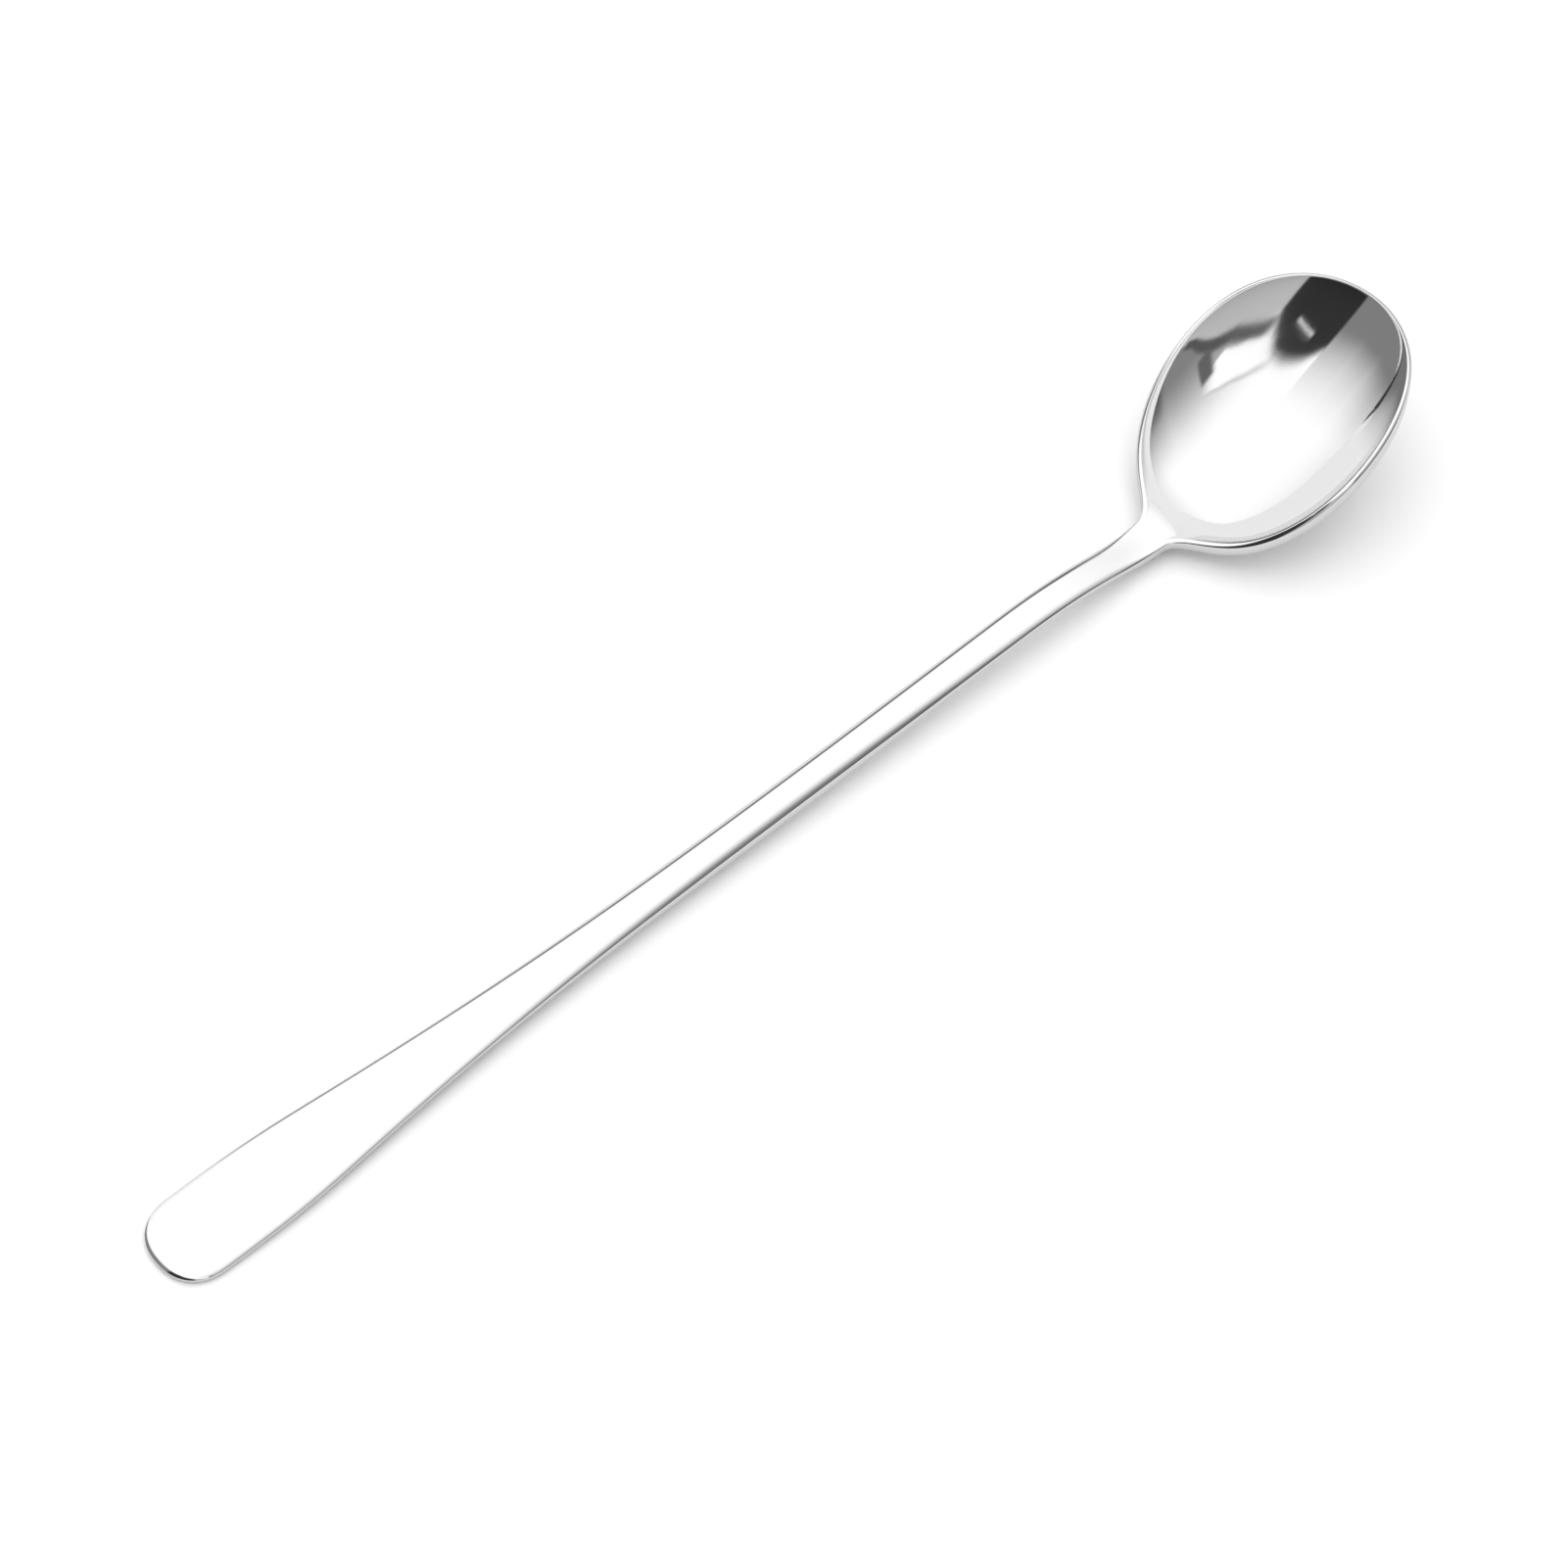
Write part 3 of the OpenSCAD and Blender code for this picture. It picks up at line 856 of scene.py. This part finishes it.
# Reflection cards: name, points of the low and of the high line, greys at both, fades of the left,
# right, low and high border, distance
CARDS = (
    (
        "ceiling",
        ((-75, -60), (72, -75)),
        ((-75, 97), (72, 97)),
        (1.25, 1.25),
        (0.01, 0.3, 0.01, 0.27),
        1.5,
    ),
    (
        "east_shade",
        ((58, -45), (60, 0), (50, 45), (28, 66)),
        ((95, -60), (105, 0), (85, 60), (50, 95)),
        (0.25, 0.15),
        (0.2, 0.2, 0.6, 0.01),
        1.45,
    ),
    (
        "front_wall",
        ((-46, -16), (10, -17), (75, -2)),
        ((-46, -95), (10, -108), (95, -90)),
        (0.27, 0.27),
        (0.01, 0.12, 0.62, 0.01),
        1.35,
    ),
    (
        "back_shade",
        ((5, 78), (14, 71), (26, 63), (45, 53)),
        ((7, 108), (20, 108), (45, 98), (75, 74)),
        (0.26, 0.14),
        (0.2, 0.2, 0.12, 0.01),
        1.35,
    ),
    (
        "skirting",
        ((-24, -88), (6, -86), (16, -76), (80, -66)),
        ((-24, -108), (10, -110), (45, -104), (95, -94)),
        (0.04, 0.04),
        (0.25, 0.1, 0.35, 0.01),
        1.3,
    ),
    (
        "low_wall",
        ((-60, 30), (-62, -20), (-50, -75)),
        ((-115, 30), (-115, -20), (-100, -80)),
        (0.3, 0.3),
        (0.01, 0.01, 0.01, 0.01),
        1.3,
    ),
    (
        "grey_wall",
        (
            (-39.3, 8), (-38.3, 22), (-36.7, 33), (-34.1, 44), (-30.7, 55), (-26, 66),
            (-20.3, 77), (-14.7, 88), (-9.5, 98),
        ),
        (
            (-105, 8), (-105, 30), (-105, 45), (-98, 62), (-92, 80), (-80, 92), (-68, 104),
            (-55, 112), (-40, 118),
        ),
        (0.255, 0.24),
        (0.01, 0.01, 0.18, 0.01),
        1.25,
    ),
    (
        "side_wall",
        ((-46, -36), (-40, -46), (-33, -55), (-22, -66), (-13, -77), (5, -88)),
        ((-110, -62), (-100, -80), (-75, -95), (-50, -110), (-20, -115), (5, -115)),
        (0.62, 0.2),
        (0.01, 0.06, 0.01, 0.01),
        1.2,
    ),
    (
        "dark_wall",
        ((-45.2, 10.5), (-43, 0), (-41.3, -13), (-40.6, -22), (-41.2, -31), (-43.7, -40)),
        ((-84, 14), (-86, 0), (-85, -18), (-81, -34), (-76, -48), (-68, -58)),
        (0.04, 0.02),
        (0.05, 0.05, 0.05, 0.2),
        1.15,
    ),
    (
        "corner_line",
        ((-42, -31), (-36.5, -41), (-31, -51), (-23.3, -58), (-17.8, -64), (-11.2, -73), (2, -83)),
        ((-46, -35), (-40.5, -45), (-35, -56), (-27.3, -63), (-21.8, -69), (-15.2, -77), (-2, -88)),
        (0.11, 0.11),
        (0.1, 0.1, 0.35, 0.35),
        1.1,
    ),
    (
        "far_shade",
        ((12, -54), (38, -48)),
        ((16, -100), (75, -85)),
        (0.2, 0.05),
        (0.3, 0.25, 0.35, 0.01),
        1.1,
    ),
    (
        "patch",
        ((-42, -12), (-36, -28), (-28, -36.5), (-18, -42)),
        ((-43, -29), (-37.5, -42), (-31, -51), (-20, -50)),
        (1.25, 1.25),
        (0.2, 0.3, 0.03, 0.06),
        1.05,
    ),
    (
        "patch_line",
        ((-42, -13), (-37.5, -23.5), (-32, -31.2), (-23.3, -38.6), (-12.7, -43), (2, -45)),
        ((-44, -16.4), (-39.5, -25), (-34, -33), (-24.6, -40.8), (-13.3, -45.4), (2, -47.6)),
        (0.75, 0.75),
        (0.2, 0.4, 0.45, 0.45),
        1.0,
    ),
    (
        "stand",
        ((-28.5, -44.5), (-19.5, -45)),
        ((-25.5, -63), (-17, -62)),
        (0.15, 0.15),
        (0.25, 0.25, 0.2, 0.2),
        0.95,
    ),
    (
        "strip",
        ((-46.9, -6), (-46.6, -6)),
        ((-46.6, -26), (-46.3, -26)),
        (2.6, 2.6),
        (0.3, 0.3, 0.1, 0.1),
        0.95,
    ),
)


class SPOON_OT_stage(bpy.types.Operator):
    """Set the floor, the light, the reflection cards and the camera"""

    bl_idname = "spoon.stage"
    bl_label = "Set the stage"

    def execute(self, context):
        look = context.scene.spoon_stage
        scene = context.scene
        scene.view_settings.view_transform = "Standard"
        self.camera(scene, look)
        self.floor(look)
        self.world(scene, look)
        self.lamp(scene)
        self.cards()
        return {"FINISHED"}

    def camera(self, scene, look):
        data = bpy.data.cameras.new("camera")
        data.lens = look.lens
        data.sensor_width = FILM
        data.sensor_fit = "HORIZONTAL"
        data.clip_start = 0.01
        data.clip_end = 20
        camera = bpy.data.objects.new("camera", data)
        scene.collection.objects.link(camera)
        flat = math.cos(CAMERA_ELEVATION)
        away = Vector(
            (
                math.sin(CAMERA_AZIMUTH) * flat,
                -math.cos(CAMERA_AZIMUTH) * flat,
                math.sin(CAMERA_ELEVATION),
            )
        )
        facing(camera, CAMERA_AIM + away * look.distance, CAMERA_AIM)
        scene.camera = camera

    def floor(self, look):
        bpy.ops.object.select_all(action="DESELECT")
        bpy.ops.mesh.primitive_plane_add(size=FLOOR_SIZE)
        floor = bpy.context.object
        floor.name = "floor"
        material = bpy.data.materials.new("white_floor")
        material.use_nodes = True
        tree = material.node_tree
        tree.nodes.clear()
        out = node(tree, "ShaderNodeOutputMaterial")
        seen = node(tree, "ShaderNodeBsdfDiffuse")
        seen.inputs["Color"].default_value = WHITE
        unseen = node(tree, "ShaderNodeBsdfDiffuse")
        unseen.inputs["Color"].default_value = (*look.floor, 1)
        both = light_path_mix(tree, seen.outputs["BSDF"], unseen.outputs["BSDF"], gloss=False)
        tree.links.new(both, out.inputs["Surface"])
        floor.data.materials.append(material)

    def world(self, scene, look):
        world = bpy.data.worlds.new("studio")
        scene.world = world
        world.use_nodes = True
        tree = world.node_tree
        tree.nodes.clear()
        out = node(tree, "ShaderNodeOutputWorld")
        seen = node(tree, "ShaderNodeBackground", Strength=1.0)
        seen.inputs["Color"].default_value = WHITE
        fill = node(tree, "ShaderNodeBackground", Strength=look.fill)
        fill.inputs["Color"].default_value = WHITE
        both = light_path_mix(tree, seen.outputs["Background"], fill.outputs["Background"])
        tree.links.new(both, out.inputs["Surface"])

    def lamp(self, scene):
        data = bpy.data.lights.new("overhead", "AREA")
        data.shape = "SQUARE"
        data.size = LAMP_SIZE
        data.energy = LAMP_POWER
        lamp = bpy.data.objects.new("overhead", data)
        lamp.visible_glossy = False
        scene.collection.objects.link(lamp)
        target = Vector((0, 0, 0))
        facing(lamp, target + toward(LAMP_AZIMUTH, LAMP_ZENITH) * LAMP_DISTANCE, target)

    def cards(self):
        fade_group = card_fade_group()
        for name, low, high, greys, fades, distance in CARDS:
            card(name, low, high, greys, fades, distance, fade_group)


class SPOON_PT_panel(bpy.types.Panel):
    bl_idname = "SPOON_PT_panel"
    bl_label = "Iced tea spoon"
    bl_space_type = "VIEW_3D"
    bl_region_type = "UI"
    bl_category = "Spoon"

    def draw(self, context):
        column = self.layout.column()
        for group in SETTINGS:
            settings = getattr(context.scene, group)
            for name in settings.__annotations__:
                column.prop(settings, name)
        for operator in OPERATORS:
            column.operator(operator.bl_idname)


OPERATORS = (SPOON_OT_press, SPOON_OT_part, SPOON_OT_polish, SPOON_OT_stage)
SETTINGS = {
    "spoon_sizes": SpoonSizes,
    "spoon_mesh": SpoonMesh,
    "spoon_steel": SteelLook,
    "spoon_stage": StageLook,
}
CLASSES = (*SETTINGS.values(), *OPERATORS, SPOON_PT_panel)


def register():
    for cls in CLASSES:
        bpy.utils.register_class(cls)
    for name, cls in SETTINGS.items():
        setattr(bpy.types.Scene, name, PointerProperty(type=cls))


def unregister():
    for name in SETTINGS:
        delattr(bpy.types.Scene, name)
    for cls in reversed(CLASSES):
        bpy.utils.unregister_class(cls)


def main():
    register()
    bpy.ops.spoon.press()
    bpy.ops.spoon.part()
    bpy.ops.spoon.polish()
    bpy.ops.spoon.stage()


if __name__ == "__main__":
    main()
